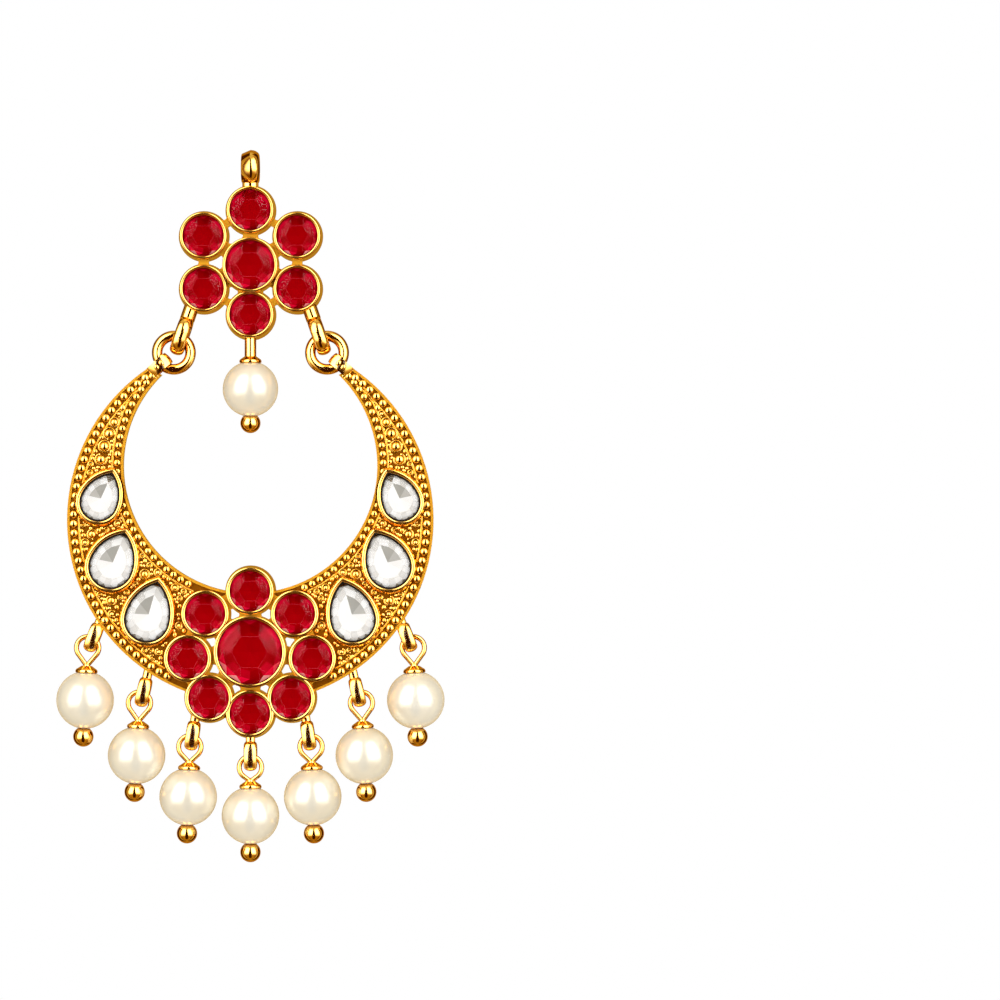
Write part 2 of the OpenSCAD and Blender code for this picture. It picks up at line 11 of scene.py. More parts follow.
import bmesh
import bpy
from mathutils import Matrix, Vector


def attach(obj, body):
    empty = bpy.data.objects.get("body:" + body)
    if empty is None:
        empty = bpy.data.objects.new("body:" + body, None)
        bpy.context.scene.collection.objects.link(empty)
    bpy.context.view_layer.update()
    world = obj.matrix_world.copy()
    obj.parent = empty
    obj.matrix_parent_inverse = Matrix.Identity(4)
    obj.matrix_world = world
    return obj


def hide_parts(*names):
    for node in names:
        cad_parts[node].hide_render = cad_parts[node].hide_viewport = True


MM = 0.001

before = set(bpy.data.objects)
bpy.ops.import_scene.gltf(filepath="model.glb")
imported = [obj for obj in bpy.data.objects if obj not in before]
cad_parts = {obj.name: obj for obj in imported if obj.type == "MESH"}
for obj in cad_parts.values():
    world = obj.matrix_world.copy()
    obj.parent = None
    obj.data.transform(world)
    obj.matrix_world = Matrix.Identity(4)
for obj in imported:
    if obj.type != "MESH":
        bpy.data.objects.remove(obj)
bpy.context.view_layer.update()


# Sizes that the part's source has too

# Depths of the top flower's back, of the plane in which the links hang, and of the crescent's plate
FLOWER_BACK = 0.35
HANG = 1.55
PLATE_BACK = 0.71
PLATE_FRONT = 1.91

# Bezels, and how a stone's girdle sits in one
BEZEL_DEPTH = 2.4
BEZEL_WALL = 0.37
BEZEL_FLOOR = 0.2
GIRDLE_TUCK = 0.07
GIRDLE_BELOW_LIP = 0.5
GIRDLE_HEIGHT = 0.1
GAP = 0.06
PEAR_BEZEL_HEIGHT = 0.95
PEAR_BELOW_LIP = 0.45

# How far a main facet reaches to each side at the rim, as a share of its sector, and how far a pear
# stone's table lies towards the tip, as a share of how much longer the tip is than the round end
RIM_SPREAD = 0.3
TABLE_RISE = 0.32

# A round stone's main facets, and its table, crown and back as shares of the radius
ROUND_MAINS, ROUND_TABLE, ROUND_CROWN, ROUND_BACK = 6, 0.54, 0.26, 0.68
# A pear stone's cut. Its table is a share of the outline, and its crown, girdle and back are lengths.
PEAR_CUT = SimpleNamespace(mains=8, table=0.66, crown=0.42, girdle=0.08, back=0.3)

TOP_STONE_R = 2.17
TOP_CENTRE_R = 2.6
TOP_CENTRE_PLACE = (0, -0.3)
TOP_CENTRE_DEPTH = 2.7
# Angle and distance of each petal, anticlockwise from the flower's top
TOP_PETALS = ((90, 5.6), (150.6, 5.75), (209.4, 5.75), (270, 5.6), (330.6, 5.75), (389.4, 5.75))

LOWER_Z = -41.66
LOWER_STONE_R = 2.16
LOWER_CENTRE_R = 3.48
LOWER_CENTRE_DEPTH = 2.8
LOWER_PETALS = (
    (90, 6.49), (139.8, 6.28), (186, 6.69), (228.4, 6.64),
    (270, 6.61), (311.6, 6.64), (354, 6.69), (400.2, 6.28),
)

# Pear stones of the left arm: x and z of the round end, its radius, the tip's distance, the tip's lean
PEARS = (
    (-16.18, -25.69, 2.05, 3.50, 25),
    (-14.89, -32.57, 2.40, 3.95, 23),
    (-11.03, -38.23, 2.44, 4.25, 16),
)

# The crescent's two edge circles, the opening under the lower flower, the edges and the bead rows
OUTER_R, OUTER_Z = 19.6, -27.58
INNER_R, INNER_Z = 13.59, -21.8
LOWER_OPENING_R = 6.4
EDGE_WIDTH = 0.27
EDGE_HEIGHT = 0.2
OUTER_BEAD_R = 0.43
INNER_BEAD_R = 0.38
OUTER_ROW_WIDTH = EDGE_WIDTH + 2 * OUTER_BEAD_R
INNER_ROW_WIDTH = EDGE_WIDTH + 2 * INNER_BEAD_R

# The right ring, and the left arm's tip loop: its direction from its ring, its radius, and how far its
# middle lies outside the ring's wire
RING_R, RING_WIRE_R = 1.79, 0.57
RING_X, RING_Z = 8.2, -9.66
TIP_ANGLE = 222
TIP_LOOP_R = 1.43
TIP_LOOP_OUTWARD = 0.28
TIP_LOOP_DISTANCE = RING_R + TIP_LOOP_OUTWARD


def polar(distance, degrees):
    return (distance * math.cos(math.radians(degrees)), distance * math.sin(math.radians(degrees)))


def point(x, z, depth):
    """A point of the front plane at a depth, in metres in the shared frame."""
    return Vector((x * MM, -depth * MM, z * MM))


def petal_place(i):
    """The middle of a petal of the lower flower."""
    angle, distance = LOWER_PETALS[i]
    x, z = polar(distance, angle)
    return (x, z + LOWER_Z)


# Node trees


class Nodes:
    """A short way to write the node tree of a material or a world."""

    def __init__(self, owner, output):
        owner.use_nodes = True
        self.owner = owner
        self.tree = owner.node_tree
        self.tree.nodes.clear()
        self.out = self.add(output)

    def add(self, kind, inputs=None, **settings):
        """A new node. An input is given as its value or as the socket that it is linked to."""
        node = self.tree.nodes.new(kind)
        for key, value in settings.items():
            setattr(node, key, value)
        for key, value in (inputs or {}).items():
            if isinstance(value, bpy.types.NodeSocket):
                self.tree.links.new(value, node.inputs[key])
            else:
                node.inputs[key].default_value = value
        return node

    def place(self):
        """The place on a piece, in metres."""
        return self.add("ShaderNodeTexCoord").outputs["Object"]

    def noise(self, scale, detail):
        """Noise over a piece, from its scale in cells a metre and its detail."""
        node = self.add("ShaderNodeTexNoise", {"Vector": self.place(), "Scale": scale, "Detail": detail})
        return node.outputs["Fac"]

    def ramp(self, factor, *stops):
        """A colour ramp through (place, colour) stops."""
        node = self.add("ShaderNodeValToRGB", {"Fac": factor})
        points = node.color_ramp.elements
        while len(points) < len(stops):
            points.new(0.5)
        for element, (place, colour) in zip(points, stops):
            element.position = place
            element.color = (*colour, 1)
        return node.outputs["Color"]

    def clouds(self, noise, span, dark, light):
        """A colour that wanders over a piece, dark below the span of the noise and light above it."""
        return self.ramp(self.noise(*noise), (span[0], dark), (span[1], light))

    def map_range(self, value, span, result=(0, 1), smooth=False):
        """A value's place in a span, stretched over the result's span and held at its ends."""
        ends = {"From Min": span[0], "From Max": span[1], "To Min": result[0], "To Max": result[1]}
        kind = "SMOOTHSTEP" if smooth else "LINEAR"
        node = self.add("ShaderNodeMapRange", {"Value": value, **ends}, interpolation_type=kind)
        return node.outputs["Result"]

    def mix(self, share, first, second, kind="FLOAT"):
        """The first of two values where the share is 0, and the second where it is 1."""
        node = self.add("ShaderNodeMix", {"Factor": share, "A": first, "B": second}, data_type=kind)
        return node.outputs["Result"]

    def mix_shaders(self, share, first, second):
        """The first of two shader nodes where the share is 0, and the second where it is 1."""
        return self.add("ShaderNodeMixShader", {0: share, 1: first.outputs[0], 2: second.outputs[0]})

    def maths(self, operation, a, b=0.0):
        """One sum. Each of a and b is a socket or a number."""
        return self.add("ShaderNodeMath", {0: a, 1: b}, operation=operation).outputs[0]

    def between(self, value, low, high, fade_low, fade_high):
        """1 where a value lies between low and high, falling to 0 outside them."""
        rise = self.map_range(value, (low - fade_low, low), smooth=True)
        fall = self.map_range(value, (high, high + fade_high), (1, 0), smooth=True)
        return self.maths("MULTIPLY", rise, fall)

    def surface(self, shader):
        """Ends the tree with a shader node, and returns the material or world that it belongs to."""
        self.tree.links.new(shader.outputs[0], self.out.inputs["Surface"])
        return self.owner


def material_nodes(name):
    """The node tree of a new material."""
    return Nodes(bpy.data.materials.new(name), "ShaderNodeOutputMaterial")


# Materials

# The values of a noise over which a tone changes
WIDE_SPAN = (0.3, 0.7)
NARROW_SPAN = (0.35, 0.65)

# Gold's plain and warm tones, the shade painted into its recesses and its tone at a grazing angle, then the
# tones of what isn't polished: edges and webs, darker with painted shade, the plate's floor, painted as the
# shade between the grains, the crests of bezels, painted with a dark reflection, and backs
GOLD = (0.93, 0.56, 0.13)
GOLD_WARM = (0.9, 0.5, 0.1)
GOLD_RECESS_SHADE = (0.36, 0.1, 0.004, 1)
GOLD_EDGE = (1.0, 0.7, 0.26, 1)
GOLD_FACE_SHADE = (0.58, 0.28, 0.018, 1)
GOLD_FLOOR_SHADE = (0.18, 0.056, 0.0015, 1)
GOLD_CREST_REFLECTION = (0.12, 0.05, 0.006, 1)
GOLD_BACK = (0.95, 0.62, 0.2, 1)

# The noise of gold's tone and roughness, and that of its polishing marks with their depth
GOLD_CLOUDS = (260, 3)
MARKS = (2600, 2)
MARKS_DEPTH = 0.01
# The roughness of the gold's smoothest and roughest places, as shares of the material's own
POLISH_VARIES = (0.8, 1.25)
# How open a place is where the gold has its painted recess shade, and where it has its plain tone
HOLLOW_SPAN = (0.1, 0.75)
HOLLOW_SAMPLES = 8
# How far in front of the bezels' backs the webs between them reach
WEB_HEIGHT = 1.65
# How far in depth the tone of a flat face and of a bezel's crest reaches, and the roughness of both
FLAT_REACH = 0.02
CREST_REACH = 0.008
MATT = 0.4
# How far the shading of cast relief is turned towards the front, as worn and plated relief looks flatter
FLATTEN = 0.5


def at_depth(nodes, depth, reach):
    """1 on the faces that lie this deep, in millimetres towards the viewer, and 0 beyond the reach."""
    y = nodes.add("ShaderNodeSeparateXYZ", {0: nodes.place()}).outputs["Y"]
    compared = nodes.add("ShaderNodeMath", {0: y, 1: -depth * MM, 2: reach * MM}, operation="COMPARE")
    return compared.outputs[0]


def flattened(nodes, normal):
    """The shading of low relief: normals turned a little towards the front of the earring."""
    front = nodes.add(
        "ShaderNodeVectorTransform", {"Vector": (0, -1, 0)},
        vector_type="NORMAL", convert_from="OBJECT", convert_to="WORLD").outputs[0]
    facing = nodes.add("ShaderNodeVectorMath", {0: normal, 1: front}, operation="DOT_PRODUCT")
    share = nodes.map_range(facing.outputs["Value"], (0, 1), (0, FLATTEN), smooth=True)
    turned = nodes.mix(share, normal, front, "VECTOR")
    return nodes.add("ShaderNodeVectorMath", {0: turned}, operation="NORMALIZE").outputs[0]


def gold_material(name, roughness, recess, marks, relief=False, matt_and_painted_faces=()):
    """Polished gold plate: a warm tone that varies a little, with shade painted into its recesses, and faint
    polishing marks.

    recess is how wide a hollow may be that gets the painted shade, marks is how strong the marks are, and
    relief is for cast relief. The last argument has a row for each flat face or crest that isn't polished:
    its depth, its tone and how far in depth the tone reaches. The tones of edges, webs and the plate's floor
    are painted shade, and that of bezels' crests is a painted dark reflection.
    """
    nodes = material_nodes(name)
    cloud = nodes.noise(*GOLD_CLOUDS)
    tone = nodes.ramp(cloud, (NARROW_SPAN[0], GOLD_WARM), (NARROW_SPAN[1], GOLD))
    hollow = nodes.add("ShaderNodeAmbientOcclusion", {"Distance": recess * MM}, samples=HOLLOW_SAMPLES)
    # Painted shade: a dark brown mixed in where the ambient occlusion finds a hollow
    tone = nodes.mix(nodes.map_range(hollow.outputs["AO"], HOLLOW_SPAN), GOLD_RECESS_SHADE, tone, "RGBA")
    polish = nodes.map_range(cloud, WIDE_SPAN, [roughness * change for change in POLISH_VARIES])
    bump = {"Strength": marks, "Distance": MARKS_DEPTH * MM, "Height": nodes.noise(*MARKS)}
    normal = nodes.add("ShaderNodeBump", bump).outputs["Normal"]
    if relief:
        normal = flattened(nodes, normal)
    # Faces that aren't polished: matt, with shade painted on edges, webs and the plate's floor, and a dark
    # reflection painted on bezels' crests
    for depth, matt_and_painted_tone, reach in matt_and_painted_faces:
        here = at_depth(nodes, depth, reach)
        tone = nodes.mix(here, tone, matt_and_painted_tone, "RGBA")
        polish = nodes.mix(here, polish, MATT)
    return nodes.surface(nodes.add("ShaderNodeBsdfPrincipled", {
        "Base Color": tone, "Roughness": polish, "Normal": normal, "Metallic": 1, "Specular Tint": GOLD_EDGE,
        "Coat Weight": 1, "Coat Roughness": 0.03, "Coat IOR": 1.3}))


# The clear front of a stone: its noise, how dark its tint gets, its shine, and how strongly it mirrors
WINDOW_CLOUDS = (700, 1)
WINDOW_SHADE = 0.97
WINDOW_ROUGHNESS = 0.02
WINDOW_IOR = 1.16


def window_material(name, colour):
    """The clear front of a backed stone: its foil shows through, and each facet mirrors a little."""
    nodes = material_nodes(name)
    tint = nodes.clouds(WINDOW_CLOUDS, WIDE_SPAN, [WINDOW_SHADE * c for c in colour], colour)
    clear = nodes.add("ShaderNodeBsdfTransparent", {"Color": tint})
    shine = nodes.add("ShaderNodeBsdfAnisotropic", {"Color": (1, 1, 1, 1), "Roughness": WINDOW_ROUGHNESS})
    share = nodes.add("ShaderNodeFresnel", {"IOR": WINDOW_IOR}).outputs[0]
    return nodes.surface(nodes.mix_shaders(share, clear, shine))


# The rims of facets, painted as glints along the facets' edges: their noise, and how dark their tint gets
RIM_CLOUDS = (900, 2)
RIM_SHADE = 0.8


def rim_material(name, colour, share):
    """The edges between facets, painted as glints: a share of a glint colour over what shows through them.
    """
    nodes = material_nodes(name)
    tint = nodes.clouds(RIM_CLOUDS, WIDE_SPAN, [RIM_SHADE * c for c in colour], colour)
    clear = nodes.add("ShaderNodeBsdfTransparent")
    edge_glint = nodes.add("ShaderNodeBsdfDiffuse", {"Color": tint})
    return nodes.surface(nodes.mix_shaders(share, clear, edge_glint))


# The foil's noise, and how far it changes a facet's tone
FOIL_CLOUDS = (600, 2)
FOIL_MOTTLE = 0.05


def foil_material(name, roughness, *stops):
    """The foil behind a stone. Each facet has its own tone, kept in the mesh as a number from 0 to 1.
    The tones paint the facets' light and shade, and glints at the rim.
    """
    nodes = material_nodes(name)
    tone = nodes.add("ShaderNodeAttribute", attribute_name="tone").outputs["Fac"]
    mottle = nodes.map_range(nodes.noise(*FOIL_CLOUDS), (0, 1), (-FOIL_MOTTLE, FOIL_MOTTLE))
    colour = nodes.ramp(nodes.maths("ADD", tone, mottle), *stops)
    return nodes.surface(nodes.add("ShaderNodeBsdfPrincipled", {
        "Base Color": colour, "Roughness": roughness, "Specular IOR Level": 0.0}))


# The pearls' two tones and their noise, the shade painted yellower and darker towards the rim and how far
# in it reaches, and the fine skin's noise, strength and depth
PEARL_BODY = (0.82, 0.76, 0.62)
PEARL_LIGHT = (0.86, 0.82, 0.71)
PEARL_CLOUDS = (190, 2)
PEARL_RIM_SHADE = (0.8, 0.7, 0.49, 1)
PEARL_RIM_BLEND = 0.35
PEARL_SKIN = (1500, 2)
PEARL_SKIN_STRENGTH = 0.05
PEARL_SKIN_DEPTH = 0.02


def pearl_material(name):
    """A coated pearl: cream, with tones that wander, with shade painted yellower towards its rim, under a
    thin clear coat.
    """
    nodes = material_nodes(name)
    body = nodes.clouds(PEARL_CLOUDS, NARROW_SPAN, PEARL_BODY, PEARL_LIGHT)
    # Painted shade: the colour turns yellower and darker towards the pearl's rim
    rim = nodes.add("ShaderNodeLayerWeight", {"Blend": PEARL_RIM_BLEND}).outputs["Facing"]
    skin = nodes.noise(*PEARL_SKIN)
    bump = {"Strength": PEARL_SKIN_STRENGTH, "Distance": PEARL_SKIN_DEPTH * MM, "Height": skin}
    normal = nodes.add("ShaderNodeBump", bump).outputs["Normal"]
    return nodes.surface(nodes.add("ShaderNodeBsdfPrincipled", {
        "Base Color": nodes.mix(rim, body, PEARL_RIM_SHADE, "RGBA"), "Normal": normal, "Metallic": 0.22,
        "Roughness": 0.27, "IOR": 1.4, "Coat Weight": 0.3, "Coat Roughness": 0.1, "Coat IOR": 1.5}))


# The shadow painted in the groove between a stone and its bezel's lip: its noise and its two near-black
# tones
GROOVE_CLOUDS = (900, 2)
GROOVE_SHADOW_DARK = (0.004, 0.002, 0.001)
GROOVE_SHADOW_LIGHT = (0.015, 0.007, 0.003)


def painted_shadow_material(name):
    """A near-black band painted as the shadow in the groove between a stone and its bezel's lip."""
    nodes = material_nodes(name)
    colour = nodes.clouds(GROOVE_CLOUDS, WIDE_SPAN, GROOVE_SHADOW_DARK, GROOVE_SHADOW_LIGHT)
    return nodes.surface(nodes.add("ShaderNodeBsdfPrincipled", {
        "Base Color": colour, "Roughness": 0.5, "Specular IOR Level": 0.1}))


GOLD_SMOOTH = gold_material("gold_polished", roughness=0.1, recess=0.8, marks=0.03)
GOLD_FLOWER = gold_material("gold_flower", roughness=0.1, recess=0.8, marks=0.03, matt_and_painted_faces=(
    (FLOWER_BACK, GOLD_BACK, FLAT_REACH),
    # Webs: matt, darker with painted shade
    (FLOWER_BACK + WEB_HEIGHT, GOLD_FACE_SHADE, FLAT_REACH),
    # Bezels' crests: a dark band painted as a reflection
    (FLOWER_BACK + BEZEL_DEPTH, GOLD_CREST_REFLECTION, CREST_REACH),
    (FLOWER_BACK + TOP_CENTRE_DEPTH, GOLD_CREST_REFLECTION, CREST_REACH)))
GOLD_CAST = gold_material("gold_cast", roughness=0.11, recess=0.5, marks=0.05, relief=True, matt_and_painted_faces=(
    (PLATE_BACK, GOLD_BACK, FLAT_REACH),
    # The plate's floor between the grains: painted dark as the shade there
    (PLATE_FRONT, GOLD_FLOOR_SHADE, FLAT_REACH),
    # Plain edges and webs: matt, darker with painted shade
    (PLATE_FRONT + EDGE_HEIGHT, GOLD_FACE_SHADE, FLAT_REACH),
    (PLATE_BACK + WEB_HEIGHT, GOLD_FACE_SHADE, FLAT_REACH),
    # Bezels' crests: a dark band painted as a reflection
    (PLATE_BACK + BEZEL_DEPTH, GOLD_CREST_REFLECTION, CREST_REACH),
    (PLATE_BACK + LOWER_CENTRE_DEPTH, GOLD_CREST_REFLECTION, CREST_REACH),
    (PLATE_FRONT + PEAR_BEZEL_HEIGHT, GOLD_CREST_REFLECTION, CREST_REACH)))
PEARL = pearl_material("pearl")
GROOVE_PAINTED_SHADOW = painted_shadow_material("groove_shadow")

RUBY_WINDOW = window_material("ruby_window", (1.0, 0.88, 0.9))
# The ruby's foil: deep red, with lighter facets and pink-white glints painted in by its tones
RUBY_FOIL = foil_material(
    "ruby_foil", 0.4,
    (0.0, (0.16, 0.0, 0.0)), (0.4, (0.38, 0.0, 0.003)), (0.75, (1.0, 0.004, 0.06)), (1.0, (1.0, 0.5, 0.48)))
RUBY_RIM = rim_material("ruby_rim", (0.8, 0.05, 0.08), share=0.24)
CRYSTAL_WINDOW = window_material("crystal_window", (1.0, 1.0, 1.0))
# The crystal's foil: white, with grey and brown-grey facets painted in by its tones as shade and reflections
CRYSTAL_FOIL = foil_material(
    "crystal_foil", 0.3,
    (0.0, (0.2, 0.16, 0.11)), (0.3, (0.42, 0.41, 0.38)), (0.6, (0.72, 0.7, 0.67)), (1.0, (1.0, 1.0, 1.0)))
CRYSTAL_RIM = rim_material("crystal_rim", (0.5, 0.49, 0.46), share=0.16)


# Objects and meshes


def add_object(name, mesh, body, slot, *materials):
    """A piece of the earring that moves with a body. Its slot is not used."""
    piece = bpy.data.objects.new(name, mesh)
    bpy.context.scene.collection.objects.link(piece)
    for material in materials:
        mesh.materials.append(material)
    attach(piece, body)
    return piece


def finished(mesh, name):
    """The mesh data of an edited mesh, which is freed."""
    data = bpy.data.meshes.new(name)
    mesh.to_mesh(data)
    mesh.free()
    return data


# Stones


def pear_radius(degrees, r, shift):
    """Distance from a stone's middle to its outline. A round stone has a shift of 0."""
    s = math.sin(math.radians(degrees))
    if s <= 0 or shift == 0:
        return r
    return math.sqrt((shift + r) ** 2 - (shift * s) ** 2) - shift * abs(math.cos(math.radians(degrees)))


def pear_shift(r, tip):
    """How far beside a pear stone's middle the centres of its tip's arcs lie, or 0 for a round stone."""
    if tip <= r:
        return 0
    return (r * r + tip * tip) / (2 * r) - r


class StonePlace:
    """Where a stone sits: its middle in the front plane, its turn, a depth, and whether it is mirrored."""

    def __init__(self, x, z, turn, depth, mirrored=False):
        self.x, self.z, self.turn, self.depth, self.mirrored = x, z, math.radians(turn), depth, mirrored

    def at(self, u, v, height):
        """A point in the stone's own plane, height towards the viewer, as a point in metres."""
        x = self.x + u * math.cos(self.turn) - v * math.sin(self.turn)
        z = self.z + u * math.sin(self.turn) + v * math.cos(self.turn)
        return point(-x if self.mirrored else x, z, self.depth + height)


# The foil behind a stone, in three rings: flat sectors under the table, the picture of the main facets
# round them, and small facets at the rim. Their tones paint the stone's light and shade: darker and
# lighter facets and glints at the rim. How far out the rings reach as shares of the outline, the slope of
# the inner two, and how deep the middle lies as a share of the radius and at most of the back.
FOIL_TABLE = 0.58
FOIL_MAINS = 0.82
FOIL_REACH = 0.985
FOIL_SLOPE = 0.1
FOIL_DEPTH = 0.1
FOIL_BACK_SHARE = 0.7
# Width of the rim of a facet, painted as a glint of light along its edge
FACET_RIM = 0.035
# Which of a stone's three materials are the foil's and the facet rims'
FOIL_INDEX = 1
RIM_INDEX = 2


class Stone:
    """A cut stone: clear facets in front, a foil behind them, and the pointed back that fills the bezel."""

    def __init__(self, place, cut, r, tip):
        self.place, self.cut, self.r = place, cut, r
        self.shift = pear_shift(r, tip)
        self.rise = (tip - r) * TABLE_RISE
        self.step = 360 / cut.mains
        self.count = 2 * cut.mains
        self.mesh = bmesh.new()
        self.tone = self.mesh.faces.layers.float.new("tone")

    def vertex(self, u, v, height):
        return self.mesh.verts.new(self.place.at(u, v, height))

    def rim(self, degrees, grow=1.0):
        """A place on the outline, or at a share of the way out to it."""
        return [grow * c for c in polar(pear_radius(degrees, self.r, self.shift), degrees)]

    def drawn_in(self, degrees, grow):
        """A place on the outline, drawn in towards the table's middle."""
        u, v = self.rim(degrees)
        return (u * grow, v * grow + self.rise * (1 - grow))

    def add_front(self):
        """The table, the facets round it and the girdle. Returns the facets and the girdle's back edge."""
        mains, count, faces = self.cut.mains, self.count, self.mesh.faces
        rim = [self.rim(90 + self.step * (i + side * RIM_SPREAD)) for i in range(mains) for side in (-1, 1)]
        top = [self.vertex(*uv, 0) for uv in rim]
        low = [self.vertex(*uv, -self.cut.girdle) for uv in rim]
        corners = []
        for i in range(mains):
            corner = self.drawn_in(90 + self.step * (i + 0.5), self.cut.table)
            corners.append(self.vertex(*corner, self.cut.crown))
        front = [faces.new(corners)]
        for i in range(mains):
            start, end, following = top[2 * i], top[2 * i + 1], top[(2 * i + 2) % count]
            front.append(faces.new((corners[i - 1], start, end, corners[i])))
            front.append(faces.new((corners[i], end, following)))
        for i in range(count):
            after = (i + 1) % count
            faces.new((top[i], low[i], low[after], top[after]))
        return front, low

    def foil_face(self, tone, *corners):
        face = self.mesh.faces.new(corners)
        face.material_index = FOIL_INDEX
        face[self.tone] = tone

    def add_back(self, low):
        """The pointed back, dark behind the foil."""
        culet = self.vertex(0, self.rise, -self.cut.girdle - self.cut.back)
        for i in range(self.count):
            self.foil_face(0, low[i], culet, low[(i + 1) % self.count])

    def add_foil(self, facet_tones_with_painted_light, first):
        """The foil, with a row of tones for each sector, anticlockwise from the angle first: the tone under
        the table, the two halves of the main facet, and the rim facets at the sector's start, in its first
        half, at its middle and in its second half. The tones paint light and shade: darker and lighter
        facets, and glints at the rim."""
        depth = -self.cut.girdle - min(FOIL_DEPTH * self.r, FOIL_BACK_SHARE * self.cut.back)
        apex = self.vertex(0, self.rise, depth)
        inner = []
        middle = []
        outer = []
        for k in range(self.count):
            angle = first + self.step / 2 * k
            for ring, share in ((inner, FOIL_TABLE), (middle, FOIL_MAINS)):
                ring.append(self.vertex(*self.drawn_in(angle, share), depth + share * self.r * FOIL_SLOPE))
            outer.append(self.vertex(*self.rim(angle + self.step / 4, FOIL_REACH), -self.cut.girdle))
        for k in range(self.count):
            row, half, after = facet_tones_with_painted_light[k // 2], k % 2, (k + 1) % self.count
            table, mains, rims = row[0], row[1:3], row[3:]
            self.foil_face(table, apex, inner[k], inner[after])
            self.foil_face(mains[half], inner[k], middle[k], middle[after], inner[after])
            self.foil_face(rims[2 * half], middle[k], outer[k - 1], outer[k])
            self.foil_face(rims[2 * half + 1], middle[k], outer[k], middle[after])

    def make(self, name, facet_tones_with_painted_light, first):
        """The stone's mesh, with a rim round each front facet that is painted as a glint."""
        front, low = self.add_front()
        self.add_back(low)
        self.add_foil(facet_tones_with_painted_light, first)
        self.mesh.normal_update()
        inset = bmesh.ops.inset_individual(
            self.mesh, faces=front, thickness=FACET_RIM * MM, use_even_offset=True)
        # Each rim round a front facet is painted as a glint
        for face in inset["faces"]:
            face.material_index = RIM_INDEX
        if self.place.mirrored:
            bmesh.ops.reverse_faces(self.mesh, faces=self.mesh.faces)
        return finished(self.mesh, name)


# How many sections the band of painted shadow has round its stone
GROOVE_STEPS = 144


def groove_mesh(name, place, r, shift, section):
    """A closed band round a stone's outline. Each section point is how far outside it is and its height."""
    mesh = bmesh.new()
    rings = []
    for k in range(GROOVE_STEPS):
        degrees = 90 + 360 * k / GROOVE_STEPS
        rings.append([
            mesh.verts.new(place.at(*polar(pear_radius(degrees, r + out, shift), degrees), height))
            for out, height in section])
    count = len(section)
    for k in range(GROOVE_STEPS):
        here, following = rings[k], rings[(k + 1) % GROOVE_STEPS]
        for j in range(count):
            after = (j + 1) % count
            face = mesh.faces.new((here[j], here[after], following[after], following[j]))
            face.smooth = True
    bmesh.ops.recalc_face_normals(mesh, faces=mesh.faces)
    return finished(mesh, name)


# What the stones of a kind share: slot, materials, foil tones, which paint the facets' light, shade and
# glints, the angle where these start, and the section of the band of painted shadow in the groove. A
# ruby's tones start with the sector at its top, a crystal's to the left of its tip.
RUBY = SimpleNamespace(
    slot="ruby", materials=(RUBY_WINDOW, RUBY_FOIL, RUBY_RIM), first=60,
    facet_tones_with_painted_light=(
        (0.29, 0.14, 0.22, 0.45, 0.25, 0.5, 0.3),
        (0.31, 0.48, 0.46, 0.55, 0.7, 0.72, 0.6),
        (0.35, 0.3, 0.46, 0.45, 0.62, 0.9, 0.74),
        (0.36, 0.46, 0.28, 1.0, 0.72, 0.3, 0.26),
        (0.34, 0.48, 0.28, 1.0, 0.72, 0.8, 0.5),
        (0.3, 0.4, 0.5, 0.45, 0.62, 0.74, 0.7),
    ),
    groove_shadow=((0.09, 0.03), (-0.04, 0.03), (-0.04, 0.12), (0.09, 0.3)))
CRYSTAL = SimpleNamespace(
    slot="crystal", materials=(CRYSTAL_WINDOW, CRYSTAL_FOIL, CRYSTAL_RIM), first=90,
    facet_tones_with_painted_light=(
        (0.28, 0.9, 0.62, 0.15, 0.5, 0.25, 0.6),
        (0.4, 1.0, 0.8, 0.45, 0.85, 0.12, 0.65),
        (0.92, 0.95, 0.85, 0.4, 0.7, 0.08, 0.8),
        (0.97, 0.66, 0.85, 0.5, 0.85, 0.06, 0.5),
        (1.0, 0.72, 0.88, 0.08, 0.6, 0.42, 0.9),
        (1.0, 1.0, 0.7, 0.1, 0.4, 0.15, 0.9),
        (1.0, 0.82, 1.0, 0.4, 0.7, 0.08, 0.85),
        (1.0, 0.85, 0.66, 0.5, 0.8, 0.1, 0.45),
    ),
    groove_shadow=((0.1, 0.03), (-0.2, 0.08), (-0.2, 0.18), (0.1, 0.3)))


def set_stone(node, body, place, cut, r, tip, kind):
    """A cut stone in place of its CAD node, and round it a near-black band painted as the shadow in its
    groove.
    """
    shift = pear_shift(r, tip)
    full = r + GIRDLE_TUCK
    full_tip = math.sqrt((shift + full) ** 2 - shift ** 2) if shift else full
    mesh = Stone(place, cut, full, full_tip).make(node + "_stone", kind.facet_tones_with_painted_light, kind.first)
    piece = add_object(node + "_stone", mesh, body, kind.slot, *kind.materials)
    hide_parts(node)
    groove_shadow = groove_mesh(node + "_groove_shadow", place, r, shift, kind.groove_shadow)
    add_object(node + "_groove_shadow", groove_shadow, body, "gold", GROOVE_PAINTED_SHADOW)


def ruby(node, body, x, z, bezel_back, r, bezel_depth):
    place = StonePlace(x, z, 0, bezel_back + bezel_depth - GIRDLE_BELOW_LIP)
    behind = bezel_depth - GIRDLE_BELOW_LIP - GIRDLE_HEIGHT - BEZEL_FLOOR - 2 * GAP
    cut = SimpleNamespace(
        mains=ROUND_MAINS, table=ROUND_TABLE, crown=ROUND_CROWN * r, girdle=GIRDLE_HEIGHT,
        back=min(ROUND_BACK * r, behind))
    set_stone(node, body, place, cut, r, r, RUBY)


def crystal(number, row, mirrored):
    x, z, r, tip, lean = row
    place = StonePlace(x, z, -lean, PLATE_FRONT + PEAR_BEZEL_HEIGHT - PEAR_BELOW_LIP, mirrored)
    set_stone(f"crystal_{number}", "drop", place, PEAR_CUT, r, tip, CRYSTAL)


